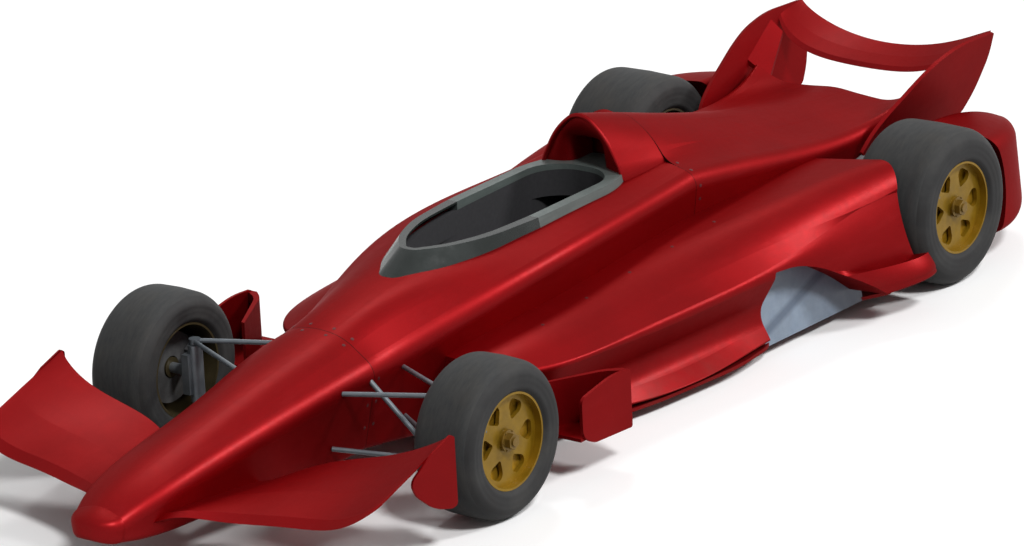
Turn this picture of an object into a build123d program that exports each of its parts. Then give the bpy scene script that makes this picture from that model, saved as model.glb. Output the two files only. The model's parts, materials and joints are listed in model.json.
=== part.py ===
from build123d import *
from math import acos, cos, radians, sin, sqrt, tan
import os

os.makedirs("parts", exist_ok=True)

# ---------------------------------------------------------------- driving sizes (mm)
# +X is forward, +Y the car's left, +Z up; the ground is z = 0. While pieces are made, x = 0 is the
# middle of the wheelbase; save() moves them so that x = 0 is the middle of the whole length.
WHEELBASE = 3200
FRONT_AXLE_X = WHEELBASE / 2
REAR_AXLE_X = -WHEELBASE / 2
NOSE_REACH = 1480      # nose tip ahead of the front axle
TAIL_REACH = 920       # rear wing tips behind the rear axle
NOSE_X = FRONT_AXLE_X + NOSE_REACH
TAIL_X = REAR_AXLE_X - TAIL_REACH
CENTRE_X = (NOSE_X + TAIL_X) / 2

# wheels: tyre radius, tyre width, outer face from the middle plane
FRONT_TYRE_R, FRONT_TYRE_W, FRONT_TRACK_OUT = 327.7, 290, 975
REAR_TYRE_R, REAR_TYRE_W, REAR_TRACK_OUT = 343, 385, 965
RIM_R = 200            # rim seat, where the tyre sits
BARREL_T = 9
FACE_DEPTH = 42        # spoke face inside the rim's outer edge
EDGE_IN = 18           # rim edge inside the tyre's face
HUB_R = 42
SPINDLE_R = 22
RUNNING_GAP = 0.05     # shaft to bore, radial
SPOKES = 6
TYRE_GAP = 28          # bodywork to the rear tyres
STEER_DEG = 18
STEER_ROOM = 95        # bodywork to the front tyres, which swing

KINGPIN_IN = 30        # kingpin axis inside the front tyre's inner face
KINGPIN_Y = FRONT_TRACK_OUT - FRONT_TYRE_W - KINGPIN_IN
KINGPIN_R = 12
BALL_R = 24
UPRIGHT_LOW, UPRIGHT_HIGH = 205, 450
JOINT_GAP = 4          # upright's ends to the arms' eyes

WALL = 12
FLOOR_LOW, FLOOR_T = 50, 15
FLOOR_TOP = FLOOR_LOW + FLOOR_T

POD_REAR_X = REAR_AXLE_X + REAR_TYRE_R + TYRE_GAP
POD_FRONT_X = FRONT_AXLE_X - FRONT_TYRE_R - STEER_ROOM
POD_LENGTH = POD_FRONT_X - POD_REAR_X


def front(dx):
    """A station dx ahead of the front axle."""
    return FRONT_AXLE_X + dx


def rear(dx):
    """A station dx ahead of the rear axle."""
    return REAR_AXLE_X + dx


def along(share):
    """A station between the axles: 0 at the rear one, 1 at the front one."""
    return REAR_AXLE_X + share * WHEELBASE


# ---------------------------------------------------------------- outlines of lines and arcs
def outline(points):
    """Closed edges through (a, b, blend) corners; each corner's arc starts blend mm before it, if there is room."""
    count = len(points)
    corners = []
    for i, (a, b, blend) in enumerate(points):
        before, after = points[i - 1], points[(i + 1) % count]
        here = Vector(a, b)
        u, v = Vector(before[0], before[1]) - here, Vector(after[0], after[1]) - here
        reach = min(blend, 0.48 * u.length, 0.48 * v.length)
        u, v = u.normalized(), v.normalized()
        half = acos(max(-1, min(1, u.dot(v)))) / 2
        if reach == 0 or half > 1.57:
            corners.append((here, here, here))
            continue
        centre = here + (u + v).normalized() * (reach / cos(half))
        middle = centre + (here - centre).normalized() * (reach * tan(half))
        corners.append((here + u * reach, middle, here + v * reach))
    edges = []
    for i, (start, middle, end) in enumerate(corners):
        if start != end:
            edges.append(ThreePointArc(start, middle, end))
        edges.append(Line(end, corners[(i + 1) % count][0]))
    return edges


def yz_face(x, points):
    """A rounded outline across the car, from (y, z, blend) corners."""
    return Plane((x, 0, 0), x_dir=(0, 1, 0), z_dir=(1, 0, 0)) * make_face(outline(points))


def xz_face(y, points):
    """A rounded outline along the car, from (x, z, blend) corners."""
    return Plane((0, y, 0), x_dir=(1, 0, 0), z_dir=(0, -1, 0)) * make_face(outline(points))


def xy_face(z, points):
    """A rounded outline seen from above, from (x, y, blend) corners."""
    return Pos(0, 0, z) * make_face(outline(points))


def both_sides(half):
    """A full outline from its left half, listed from the bottom middle to the top middle."""
    return half + [(-y, z, r) for y, z, r in reversed(half) if y > 0]


def plan(half):
    """A full plan outline from its left half, listed from front to back."""
    return half + [(x, -y, r) for x, y, r in reversed(half) if y > 0]


def rod(start, end, radius):
    """A round rod between two points."""
    a, b = Vector(*start), Vector(*end)
    return Solid.make_cylinder(radius, (b - a).length, Plane(origin=a, z_dir=b - a))


def mirror_y(shape):
    return mirror(shape, about=Plane.XZ)


def save(shape, node):
    moved = Pos(-CENTRE_X, 0, 0) * shape
    moved.label = node
    export_step(moved, "parts/" + node + ".step")


def save_pair(shape, node):
    save(shape, node + "_left")
    save(mirror_y(shape), node + "_right")


# ---------------------------------------------------------------- nose and tub
# station, half belly, belly z, half shoulder, shoulder z, half crown, crown z, top z
TUB_TABLE = [
    (along(1.0), 205, 150, 288, 508, 125, 618, 634),
    (along(0.90), 225, 110, 315, 548, 145, 686, 700),
    (along(0.79), 250, 75, 392, 632, 190, 728, 738),
    (along(0.68), 275, 60, 436, 690, 235, 748, 755),
    (along(0.50), 290, 60, 418, 716, 240, 760, 765),
    (along(0.355), 300, 60, 392, 730, 240, 772, 777),
]
NOSE_TABLE = [
    (front(1390), 114, 204, 134, 300, 60, 330, 341),
    (front(1270), 150, 192, 168, 345, 80, 376, 388),
    (front(900), 165, 172, 212, 405, 95, 459, 473),
    (front(500), 180, 158, 240, 450, 105, 532, 547),
    (front(0), 205, 150, 288, 508, 125, 618, 634),
]
TIP_TABLE = [
    (NOSE_X, 26, 244, 30, 282, 14, 288, 290),
    (NOSE_X - 9, 62, 228, 66, 292, 30, 304, 306),
    (NOSE_X - 34, 92, 214, 104, 298, 46, 316, 322),
    (front(1390), 114, 204, 134, 300, 60, 330, 341),
]
BELLY_BLEND, SHOULDER_BLEND, CROWN_BLEND, TOP_BLEND = 25, 60, 110, 130


def shell_section(row):
    x, belly, belly_z, shoulder, shoulder_z, crown, crown_z, top_z = row
    return yz_face(x, both_sides([(belly, belly_z, BELLY_BLEND), (shoulder, shoulder_z, SHOULDER_BLEND),
                                  (crown, crown_z, CROWN_BLEND), (0, top_z, TOP_BLEND)]))


def shell(table):
    return loft([shell_section(row) for row in table])


nose = shell(NOSE_TABLE) + shell(TIP_TABLE)
tub_outer = shell(TUB_TABLE)
under_floor = Pos(0, 0, FLOOR_TOP - 200) * Box(8000, 3000, 400)

# the opening, the ring round it and the screen, seen from above: x, half width, blend
OPENING = [(985, 22, 15), (880, 104, 80), (700, 168, 100), (430, 188, 60), (-110, 188, 105), (-200, 85, 60)]
opening = extrude(xy_face(130, plan(OPENING)), 1200)
FOOT_ROOM = dict(front=1480, back=700, half=150, low=190, high=470)
foot_room = Pos((FOOT_ROOM["front"] + FOOT_ROOM["back"]) / 2, 0, (FOOT_ROOM["low"] + FOOT_ROOM["high"]) / 2) * Box(
    FOOT_ROOM["front"] - FOOT_ROOM["back"], 2 * FOOT_ROOM["half"], FOOT_ROOM["high"] - FOOT_ROOM["low"])
seat_room = extrude(xy_face(130, plan([(700, 186, 80), (-420, 186, 60)])), 520)
tub = tub_outer - opening - foot_room - seat_room - under_floor
save(nose, "nose_cone")
save(tub, "monocoque")

# one ring round the opening: its front is the thin screen, its back the solid collar
RING_BASE = [(1265, 40, 35), (1080, 165, 110), (800, 240, 160), (430, 262, 80), (-150, 262, 130), (-390, 124, 100)]
RING_TOP = [(1010, 34, 25), (905, 128, 80), (720, 205, 110), (430, 236, 80), (-140, 238, 120), (-372, 112, 90)]
RING_LOW, RING_HIGH, RING_SPLIT_X = 655, 790, 430
SCREEN_T = 9


def ring_block(drop):
    base = Pos(0, 0, RING_LOW - drop) * make_face(outline(plan(RING_BASE)))
    top = Pos(0, 0, RING_HIGH - drop) * make_face(outline(plan(RING_TOP)))
    return loft([base, top], ruled=True)


ahead = Pos(RING_SPLIT_X + 1000, 0, 700) * Box(2000, 1000, 400)
ring = ring_block(0) - opening - tub_outer
save((ring & ahead) - ring_block(SCREEN_T), "windscreen")
collar = ring - ahead
save(collar, "cockpit_collar")

# ---------------------------------------------------------------- roll hoop with the air intake
HOOP_FRONT, HOOP_BACK = -190, along(0.355)
HOOP_T = 16
# half outline from foot to apex: y, z, corner
HOOP_TABLE = [
    (HOOP_FRONT, [(222, 700, 5), (216, 790, 60), (132, 952, 80), (0, 1052, 90)]),
    (HOOP_BACK, [(236, 700, 5), (232, 770, 30), (150, 885, 80), (0, 972, 90)]),
]


def hoop_section(x, half, inset):
    full = [(max(0, y - inset if y else 0), z - (inset * 1.15 if i == 3 else inset), r) for i, (y, z, r) in enumerate(half)]
    ring = full[:-1] + [full[-1]] + [(-y, z, r) for y, z, r in reversed(full[:-1])]
    return yz_face(x, ring)


hoop_solid = loft([hoop_section(x, half, 0) for x, half in HOOP_TABLE])
hoop_core = loft([hoop_section(x + (1 if i == 0 else 60), half, HOOP_T) for i, (x, half) in enumerate(HOOP_TABLE)])
hoop = hoop_solid - hoop_core - tub_outer - collar
save(hoop, "roll_hoop")

# ---------------------------------------------------------------- engine cover
# station, then (y, z, corner): foot, crease, valley, flank, apex z and corner
COVER_BACK = rear(-440)
COVER_TABLE = [
    (HOOP_BACK, (356, 470, 8), (392, 730, 60), (236, 772, 40), (150, 885, 80), (972, 90)),
    (along(0.25), (392, 450, 8), (404, 690, 60), (256, 728, 70), (142, 796, 80), (868, 90)),
    (along(0.12), (402, 430, 8), (412, 628, 60), (262, 658, 80), (130, 708, 80), (752, 100)),
    (rear(-60), (404, 480, 8), (414, 592, 50), (266, 604, 80), (122, 638, 80), (664, 100)),
    (COVER_BACK, (404, 520, 8), (436, 668, 30), (300, 592, 80), (120, 604, 80), (618, 100)),
]


def cover_section(row, inset=0.0):
    x, foot, crease, valley, flank, apex = row
    half = [(foot[0] - inset, foot[1] - inset, foot[2]), (crease[0] - inset, crease[1] - inset, crease[2]),
            (valley[0] - inset * 0.5, valley[1] - inset, valley[2]), (flank[0] - inset, flank[1] - inset, flank[2])]
    ring = half + [(0, apex[0] - inset, apex[1])] + [(-y, z, r) for y, z, r in reversed(half)]
    return yz_face(x, ring)


cover_outer = loft([cover_section(row) for row in COVER_TABLE])
inner_rows = [(row[0] - (30 if i == 0 else 0), *row[1:]) for i, row in enumerate(COVER_TABLE)]
cover = cover_outer - loft([cover_section(row, WALL) for row in inner_rows])
cover -= Pos(rear(-300), 0, 440) * Box(600, 700, 200)
save(cover, "engine_cover")

# ---------------------------------------------------------------- engine, gearbox and crash structure
ENGINE_BACK = along(0.16)
GEARBOX_BACK = rear(-330)
CRASH_BACK = rear(-760)
engine = Pos((HOOP_BACK + ENGINE_BACK) / 2, 0, (FLOOR_TOP + 440) / 2) * Box(HOOP_BACK - ENGINE_BACK, 440, 440 - FLOOR_TOP)
save(engine, "engine_block")
gearbox = loft([yz_face(ENGINE_BACK, both_sides([(170, 130, 30), (170, 420, 30)])),
                yz_face(GEARBOX_BACK, both_sides([(95, 200, 30), (95, 400, 30)]))])
save(gearbox, "gearbox")
STARTER_R, STARTER_DEEP = 16, 90
crash = loft([yz_face(GEARBOX_BACK, both_sides([(92, 215, 25), (92, 395, 25)])),
              yz_face(CRASH_BACK, both_sides([(60, 262, 25), (60, 372, 25)]))])
crash -= rod((CRASH_BACK - 1, 0, 317), (CRASH_BACK + STARTER_DEEP, 0, 317), STARTER_R)
save(crash, "crash_structure")

# ---------------------------------------------------------------- side pods
# share of the pod's length, then (y, z, blend): inner low, lip, waist, edge, shoulder, inner top
POD_TABLE = [
    (1.00, (300, 300, 4), (470, 340, 6), (500, 372, 10), (530, 398, 20), (470, 425, 60), (300, 436, 4)),
    (0.92, (300, 160, 4), (585, 190, 10), (600, 260, 60), (680, 388, 22), (540, 452, 140), (300, 474, 4)),
    (0.70, (300, FLOOR_TOP, 4), (742, 82, 10), (645, 190, 90), (764, 386, 24), (585, 496, 200), (300, 522, 4)),
    (0.45, (300, FLOOR_TOP, 4), (800, 82, 10), (692, 190, 90), (812, 390, 28), (620, 536, 200), (300, 553, 4)),
    (0.34, (300, FLOOR_TOP, 4), (785, 86, 10), (722, 200, 90), (835, 392, 40), (660, 560, 200), (300, 558, 4)),
    (0.20, (300, FLOOR_TOP, 4), (848, 110, 10), (844, 210, 90), (862, 385, 100), (722, 588, 160), (300, 562, 4)),
    (-0.06, (300, FLOOR_TOP, 4), (944, 150, 10), (936, 225, 80), (908, 400, 120), (820, 612, 90), (300, 545, 4)),
]


def pod_x(share):
    return POD_REAR_X + share * POD_LENGTH


pod = loft([yz_face(pod_x(row[0]), list(row[1:])) for row in POD_TABLE])
wheel_room = Pos(REAR_AXLE_X, 0, REAR_TYRE_R) * Rot(90, 0, 0) * Cylinder(REAR_TYRE_R + TYRE_GAP, 3000)
# the arch low in the pod's side: x, z, blend
ARCH = [(along(0.375), 40, 0), (along(0.375), 394, 10), (along(0.33), 384, 60), (along(0.28), 330, 80),
        (along(0.22), 218, 80), (along(0.172), 96, 30), (along(0.156), 40, 0)]
ARCH_DEPTH_Y = 690
arch = extrude(xz_face(1100, ARCH), 1100 - ARCH_DEPTH_Y)
pod = pod - tub_outer - cover_outer - under_floor - wheel_room - arch
save_pair(pod, "sidepod")

# ---------------------------------------------------------------- floor
LIP = {row[0]: row[2][0] for row in POD_TABLE}
FLOOR_PLAN = [(pod_x(0.97), 290, 40), (pod_x(0.92), LIP[0.92] - 40, 60), (pod_x(0.70), LIP[0.70] + 2, 200),
              (pod_x(0.45), LIP[0.45] + 2, 200), (along(0.378), LIP[0.34] - 14, 60), (along(0.36), 742, 40),
              (along(0.27), 720, 120), (along(0.18), 740, 60), (POD_REAR_X - 20, 850, 60),
              (POD_REAR_X - 40, 540, 20), (rear(-520), 520, 40)]
floor = extrude(xy_face(FLOOR_LOW, plan(FLOOR_PLAN)), FLOOR_T)
save(floor, "floor")

# folded panel that closes the arch: its fold climbs from the front foot to the back top
STRAKE = [(along(0.374), (735, 752, 744, 104), (698, 712)), (along(0.158), (735, 772, 722, 316), (698, 712))]
strake = loft([yz_face(x, [(foot_in, FLOOR_LOW, 0), (foot_out, FLOOR_LOW, 0), (fold, fold_z, 0), (top_out, 352, 0),
                           (top_in, 352, 0)])
               for x, (foot_in, foot_out, fold, fold_z), (top_in, top_out) in STRAKE], ruled=True)
strake = strake - pod - floor
save_pair(strake, "floor_strake")

# ---------------------------------------------------------------- side boxes ahead of the pods
BOX_FRONT, BOX_BACK = POD_FRONT_X, along(0.765)
BOX_OUT = 985
BOX_T = 14
plate = extrude(xz_face(BOX_OUT, [(BOX_BACK, 150, 12), (BOX_FRONT - 60, 165, 40), (BOX_FRONT, 215, 30), (BOX_FRONT, 370, 30),
                                  (BOX_BACK + 120, 408, 60), (BOX_BACK, 400, 12)]), BOX_T)
vane = extrude(xy_face(190, [(BOX_FRONT, 760, 0), (BOX_BACK + 62, 905, 60), (BOX_BACK + 18, BOX_OUT - 5, 0),
                             (BOX_BACK, BOX_OUT - 5, 0), (BOX_BACK, 944, 0), (BOX_BACK + 48, 887, 60),
                             (BOX_FRONT, 744, 0)]), 205)
shelf = extrude(xy_face(186, [(BOX_FRONT, 330, 20), (BOX_FRONT, BOX_OUT - BOX_T, 0), (BOX_BACK, BOX_OUT - BOX_T, 0),
                              (BOX_BACK, 600, 40), (BOX_BACK + 60, 330, 20)]), BOX_T)
side_box = plate + vane + shelf - tub_outer - pod
save_pair(side_box, "side_deflector")


# ---------------------------------------------------------------- wings
def foil(y, lead, trail, thick):
    """A wing section across Y = y from its leading and trailing (x, z), five arcs and lines."""
    dx, dz = trail[0] - lead[0], trail[1] - lead[1]
    chord = sqrt(dx * dx + dz * dz)
    ux, uz = dx / chord, dz / chord

    def at(share, off):
        return (lead[0] + ux * share * chord + uz * off * -1, lead[1] + uz * share * chord + ux * off * -1)

    top = thick * 0.55
    points = [at(0, 0), at(0.08, top), at(0.45, top), at(1, 2.5), at(1, -2.5), at(0.45, -thick * 0.45), at(0.08, -thick * 0.45)]
    return xz_face(y, [(a, b, 0) for a, b in points])


# y, leading x and z, trailing x and z, thickness; x from the front axle
FRONT_WING = [
    (150, 1270, 252, 640, 228, 34),
    (350, 1105, 246, 560, 280, 36),
    (550, 1045, 246, 502, 340, 36),
    (750, 1012, 256, 500, 395, 34),
    (880, 1000, 284, 480, 442, 28),
    (950, 975, 318, 455, 474, 20),
    (990, 920, 350, 432, 500, 12),
]
half_wing = loft([foil(y, (front(lx), lz), (front(tx), tz), t) for y, lx, lz, tx, tz, t in FRONT_WING])
middle_wing = loft([foil(s * 150, (front(1270), 252), (front(640), 228), 34) for s in (-1, 1)])
front_wing = half_wing + middle_wing + mirror_y(half_wing) - nose - tub_outer
save(front_wing, "front_wing")

PLATE_T = 10
WING_TIP_Y = 1000
FIN = [(front(700), 392, 30), (front(676), 330, 60), (front(560), 236, 90), (front(450), 205, 30), (front(418), 212, 14),
       (front(418), 492, 8), (front(440), 507, 8), (front(560), 468, 0)]
fin = extrude(xz_face(WING_TIP_Y, FIN), PLATE_T)
save_pair(fin, "front_endplate")

# y, leading x and z, trailing x and z, thickness; x from the rear axle
REAR_WING = [
    (0, -650, 648, -838, 708, 24),
    (200, -652, 656, -846, 724, 24),
    (385, -672, 700, -868, 772, 22),
    (504, -736, 786, -TAIL_REACH, 814, 14),
]
rows = [(-y, *rest) for y, *rest in reversed(REAR_WING[1:])] + REAR_WING
rear_wing = loft([foil(y, (rear(lx), lz), (rear(tx), tz), t) for y, lx, lz, tx, tz, t in rows])
save(rear_wing, "rear_wing")

PYLON = [(rear(10), 500, 20), (rear(-60), 590, 60), (rear(-150), 650, 80), (rear(-270), 712, 80), (rear(-370), 764, 80),
         (rear(-490), 812, 80), (rear(-660), 842, 80), (rear(-TAIL_REACH + 4), 828, 8), (rear(-TAIL_REACH + 6), 715, 60),
         (rear(-850), 560, 100), (rear(-775), 470, 30), (rear(-650), 470, 30), (rear(-450), 500, 30)]
PYLON_T, PYLON_LEAN, PYLON_FOOT_Y = 18, 15, 404
pylon = Pos(0, PYLON_FOOT_Y, 430) * Rot(-PYLON_LEAN, 0, 0) * Pos(0, PYLON_T, -430) * extrude(xz_face(0, PYLON), PYLON_T)
web = loft([yz_face(COVER_BACK, [(352, 606, 0), (470, 672, 0), (470, 648, 0), (352, 584, 0)]),
            yz_face(rear(-672), [(438, 742, 0), (502, 790, 0), (502, 766, 0), (438, 722, 0)])], ruled=True)
pylon = pylon + web - cover_outer - rear_wing
save_pair(pylon, "rear_wing_pylon")

# ---------------------------------------------------------------- rear wheel guards
GUARD_IN, GUARD_BACK = REAR_TRACK_OUT - REAR_TYRE_W, rear(-800)
guard = loft([yz_face(rear(-200), [(GUARD_IN, 140, 30), (935, 140, 40), (925, 560, 60), (GUARD_IN, 598, 40)]),
              yz_face(rear(-520), [(GUARD_IN, 130, 30), (900, 130, 50), (870, 530, 60), (GUARD_IN, 575, 40)]),
              yz_face(GUARD_BACK, [(GUARD_IN, 190, 20), (690, 190, 30), (670, 470, 40), (GUARD_IN, 480, 30)])])
guard -= wheel_room
GUARD_BEAM = dict(x=rear(-600), z=330, length=110, height=36)
beam = Pos(GUARD_BEAM["x"], (GUARD_IN + 40) / 2, GUARD_BEAM["z"]) * Box(GUARD_BEAM["length"], GUARD_IN + 40, GUARD_BEAM["height"])
guard = guard + (beam - Pos(0, -500, 0) * Box(9000, 1000, 3000)) - crash
save_pair(guard, "rear_guard")


# ---------------------------------------------------------------- wheels
def tyre(radius, width):
    half = width / 2
    side = [(RIM_R, half - 20, 0), (RIM_R + 14, half - 4, 8), (RIM_R + 50, half, 60), (radius - 45, half, 60),
            (radius - 4, half - 40, 50), (radius, 0, 0)]
    ring = side + [(r, -z, c) for r, z, c in reversed(side[:-1])]
    return revolve(Plane.XZ * make_face(outline(ring)), Axis.Z)


def rim(width):
    edge = width / 2 - EDGE_IN
    face_z = edge - FACE_DEPTH
    barrel = Cylinder(RIM_R, 2 * edge) - Cylinder(RIM_R - BARREL_T, 2 * edge + 2)
    disc = Pos(0, 0, face_z) * (Cylinder(RIM_R - BARREL_T, 18) - Cylinder(HUB_R, 20))
    pocket = extrude(xy_face(face_z - 20, [(82, 0, 12), (134, -44, 22), (166, -34, 16), (166, 34, 16), (134, 44, 22)]), 40)
    for i in range(SPOKES):
        disc -= Rot(0, 0, 360 / SPOKES * i) * pocket
    hub = Pos(0, 0, face_z - 56) * (Cylinder(HUB_R, 150) - Cylinder(SPINDLE_R + RUNNING_GAP, 200))
    return barrel + disc + hub


def wheel_at(shape, axle_x, mid_y, radius):
    return Pos(axle_x, mid_y, radius) * Rot(-90, 0, 0) * shape


WHEELS = [("front", FRONT_AXLE_X, FRONT_TYRE_R, FRONT_TYRE_W, FRONT_TRACK_OUT),
          ("rear", REAR_AXLE_X, REAR_TYRE_R, REAR_TYRE_W, REAR_TRACK_OUT)]
for end, axle_x, radius, width, out in WHEELS:
    save_pair(wheel_at(tyre(radius, width), axle_x, out - width / 2, radius), end + "_tyre")
    save_pair(wheel_at(rim(width), axle_x, out - width / 2, radius), end + "_rim")

# ---------------------------------------------------------------- front suspension
front_hub_out = FRONT_TRACK_OUT - EDGE_IN - FACE_DEPTH + 19
upright_mid = (UPRIGHT_LOW + UPRIGHT_HIGH) / 2
upright = Pos(FRONT_AXLE_X, KINGPIN_Y, upright_mid) * Cylinder(30, UPRIGHT_HIGH - UPRIGHT_LOW)
upright += Pos(FRONT_AXLE_X, KINGPIN_Y + 20, FRONT_TYRE_R) * Box(96, 36, 170)
upright += rod((FRONT_AXLE_X, KINGPIN_Y + 10, FRONT_TYRE_R), (FRONT_AXLE_X, front_hub_out, FRONT_TYRE_R), SPINDLE_R)
upright -= Pos(FRONT_AXLE_X, KINGPIN_Y, upright_mid) * Cylinder(KINGPIN_R + RUNNING_GAP, 600)
save_pair(upright, "front_upright")

# arm table: eye z, inner y, inner z, spread fore and aft, tube radius
EYE_T = 22
eye_low, eye_high = UPRIGHT_LOW - JOINT_GAP - EYE_T / 2, UPRIGHT_HIGH + JOINT_GAP + EYE_T / 2
ARMS = [(eye_low, 225, 235, 230, 10), (eye_high, 262, 462, 190, 10)]
arms = Pos(FRONT_AXLE_X, KINGPIN_Y, upright_mid) * Cylinder(KINGPIN_R, eye_high - eye_low + EYE_T)
for eye_z, inner_y, inner_z, spread, tube_r in ARMS:
    arms += Pos(FRONT_AXLE_X, KINGPIN_Y, eye_z) * Cylinder(BALL_R, EYE_T)
    for dx in (-spread, spread):
        arms += rod((FRONT_AXLE_X + 14 * dx / spread, KINGPIN_Y - 16, eye_z), (FRONT_AXLE_X + dx, inner_y, inner_z), tube_r)
arms += rod((FRONT_AXLE_X + 20, KINGPIN_Y - 60, eye_low), (FRONT_AXLE_X + 20, 250, 478), 11)
arms = arms - tub_outer - nose - Pos(FRONT_AXLE_X, KINGPIN_Y, upright_mid) * (
    Cylinder(60, UPRIGHT_HIGH - UPRIGHT_LOW + 2 * JOINT_GAP) - Cylinder(KINGPIN_R, UPRIGHT_HIGH))
save_pair(arms, "front_wishbones")

# ---------------------------------------------------------------- rear suspension
rear_hub_out = REAR_TRACK_OUT - EDGE_IN - FACE_DEPTH + 19
REAR_UPRIGHT_Y = REAR_TRACK_OUT - REAR_TYRE_W - 55
rear_upright = Pos(REAR_AXLE_X, REAR_UPRIGHT_Y, REAR_TYRE_R) * Box(110, 60, 250)
rear_upright += rod((REAR_AXLE_X, REAR_UPRIGHT_Y, REAR_TYRE_R), (REAR_AXLE_X, rear_hub_out, REAR_TYRE_R), SPINDLE_R)
save_pair(rear_upright, "rear_upright")
# arm table: outer z, inner z, spread, tube radius
REAR_ARMS = [(240, 225, 250, 12), (446, 385, 210, 12)]
rear_arms = rod((REAR_AXLE_X, REAR_UPRIGHT_Y, REAR_TYRE_R), (REAR_AXLE_X, 90, 305), 20)
for outer_z, inner_z, spread, tube_r in REAR_ARMS:
    for dx in (-spread, spread):
        rear_arms += rod((REAR_AXLE_X, REAR_UPRIGHT_Y, outer_z), (REAR_AXLE_X + dx, 90, inner_z), tube_r)
rear_arms = rear_arms - gearbox - rear_upright
save_pair(rear_arms, "rear_wishbones")

# ---------------------------------------------------------------- cockpit
COLUMN_TILT, COLUMN_R, COLUMN_LENGTH = 12, 10, 330
GRIP_X, GRIP_Z = 480, 590
column_dir = Vector(cos(radians(COLUMN_TILT)), 0, -sin(radians(COLUMN_TILT)))
grip_at = Vector(GRIP_X, 0, GRIP_Z)
column_end = grip_at + column_dir * COLUMN_LENGTH
steering = rod(grip_at, column_end, COLUMN_R)
steering += Plane(grip_at, x_dir=(0, 1, 0), z_dir=column_dir) * extrude(RectangleRounded(250, 130, 40), 22)
save(steering, "steering_wheel")
DASH_X, DASH_T = 720, 24
dash = Pos(DASH_X, 0, 555) * Box(DASH_T, 460, 190) & (opening + seat_room)
dash -= rod(grip_at, column_end, COLUMN_R + RUNNING_GAP)
save(dash, "dash")

SEAT = [(-370, 130, 0), (420, 130, 30), (420, 205, 30), (40, 190, 150), (-190, 300, 160), (-330, 640, 20), (-385, 640, 0),
        (-385, 130, 0)]
seat = extrude(xz_face(150, SEAT), 300)
save(seat, "seat")
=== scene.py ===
import json
import math

import bmesh
import bpy
from mathutils import Matrix, Vector
from mathutils.bvhtree import BVHTree


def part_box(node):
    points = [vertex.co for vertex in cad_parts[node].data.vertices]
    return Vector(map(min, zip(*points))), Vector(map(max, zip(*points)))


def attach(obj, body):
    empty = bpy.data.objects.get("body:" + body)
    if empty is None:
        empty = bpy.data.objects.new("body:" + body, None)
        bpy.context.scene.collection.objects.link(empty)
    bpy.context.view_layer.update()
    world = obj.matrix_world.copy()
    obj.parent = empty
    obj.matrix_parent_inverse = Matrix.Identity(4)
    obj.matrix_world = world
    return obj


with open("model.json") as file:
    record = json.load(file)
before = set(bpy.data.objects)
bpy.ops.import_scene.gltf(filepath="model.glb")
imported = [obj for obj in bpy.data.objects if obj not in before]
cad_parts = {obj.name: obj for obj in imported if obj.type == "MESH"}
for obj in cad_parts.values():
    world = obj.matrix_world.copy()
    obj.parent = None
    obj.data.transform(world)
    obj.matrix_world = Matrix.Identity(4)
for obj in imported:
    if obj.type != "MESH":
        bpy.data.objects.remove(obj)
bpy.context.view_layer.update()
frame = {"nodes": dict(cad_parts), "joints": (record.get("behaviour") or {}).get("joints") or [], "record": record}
nodes = frame["nodes"]
slotOf = {part["node"]: part["material_slot"] for part in frame["record"]["subparts"]}
jointAt = {joint["name"]: Vector(joint["pos_m"]) for joint in frame["joints"]}
wheelEnds = ("front_left", "front_right", "rear_left", "rear_right")
print("frame loaded:", len(nodes), "nodes")

# camera ahead of the front left wheel and above it
view = {
    "azimuth": 38.058,      # degrees from +X towards +Y
    "elevation": 19.102,
    "roll": -3.0,
    "distance": 30.0,
    "target": (-0.3566, -0.3145, 0.3),
    "lens": 250.1,
    "clip": (1, 400),
}


# unit vector from azimuth and elevation in degrees
def wayTo(azimuth, elevation):
    az, el = math.radians(azimuth), math.radians(elevation)
    return Vector((math.cos(az) * math.cos(el), math.sin(az) * math.cos(el), math.sin(el)))


def placeCamera():
    back = wayTo(view["azimuth"], view["elevation"])
    roll = math.radians(view["roll"])
    side = Vector((0, 0, 1)).cross(back).normalized()
    right = math.cos(roll) * side + math.sin(roll) * back.cross(side)
    data = bpy.data.cameras.new("camera")
    data.lens = view["lens"]
    data.clip_start, data.clip_end = view["clip"]
    camera = bpy.data.objects.new("camera", data)
    bpy.context.collection.objects.link(camera)
    camera.matrix_world = Matrix((right, back.cross(right), back)).transposed().to_4x4()
    camera.location = Vector(view["target"]) + back * view["distance"]
    bpy.context.scene.camera = camera


placeCamera()
print("camera placed")


# small helpers for shader trees; a value is a number, a colour or another node's socket
def setInput(tree, socket, value):
    if isinstance(value, bpy.types.NodeSocket):
        tree.links.new(value, socket)
    else:
        socket.default_value = value


def addNode(tree, kind, inputs=None, **settings):
    node = tree.nodes.new(kind)
    for key, value in settings.items():
        setattr(node, key, value)
    for key, value in (inputs or {}).items():
        setInput(tree, node.inputs[key], value)
    return node


def maths(tree, operation, *values, clamp=False):
    inputs = dict(enumerate(values))
    return addNode(tree, "ShaderNodeMath", inputs, operation=operation, use_clamp=clamp).outputs[0]


# sockets 0, 6 and 7 of a colour Mix are its factor and its two colours
def mixColour(tree, factor, first, second):
    node = addNode(tree, "ShaderNodeMix", {0: factor}, data_type="RGBA")
    for index, value in ((6, first), (7, second)):
        setInput(tree, node.inputs[index], (*value, 1) if isinstance(value, tuple) else value)
    return node.outputs[2]


def spread(tree, value, low, high, outLow=0.0, outHigh=1.0):
    inputs = {"Value": value, "From Min": low, "From Max": high, "To Min": outLow, "To Max": outHigh}
    return addNode(tree, "ShaderNodeMapRange", inputs).outputs["Result"]


def noise(tree, point, scale, detail=4.0, roughness=0.55):
    inputs = {"Vector": point, "Scale": scale, "Detail": detail, "Roughness": roughness}
    return addNode(tree, "ShaderNodeTexNoise", inputs).outputs["Fac"]


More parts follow.
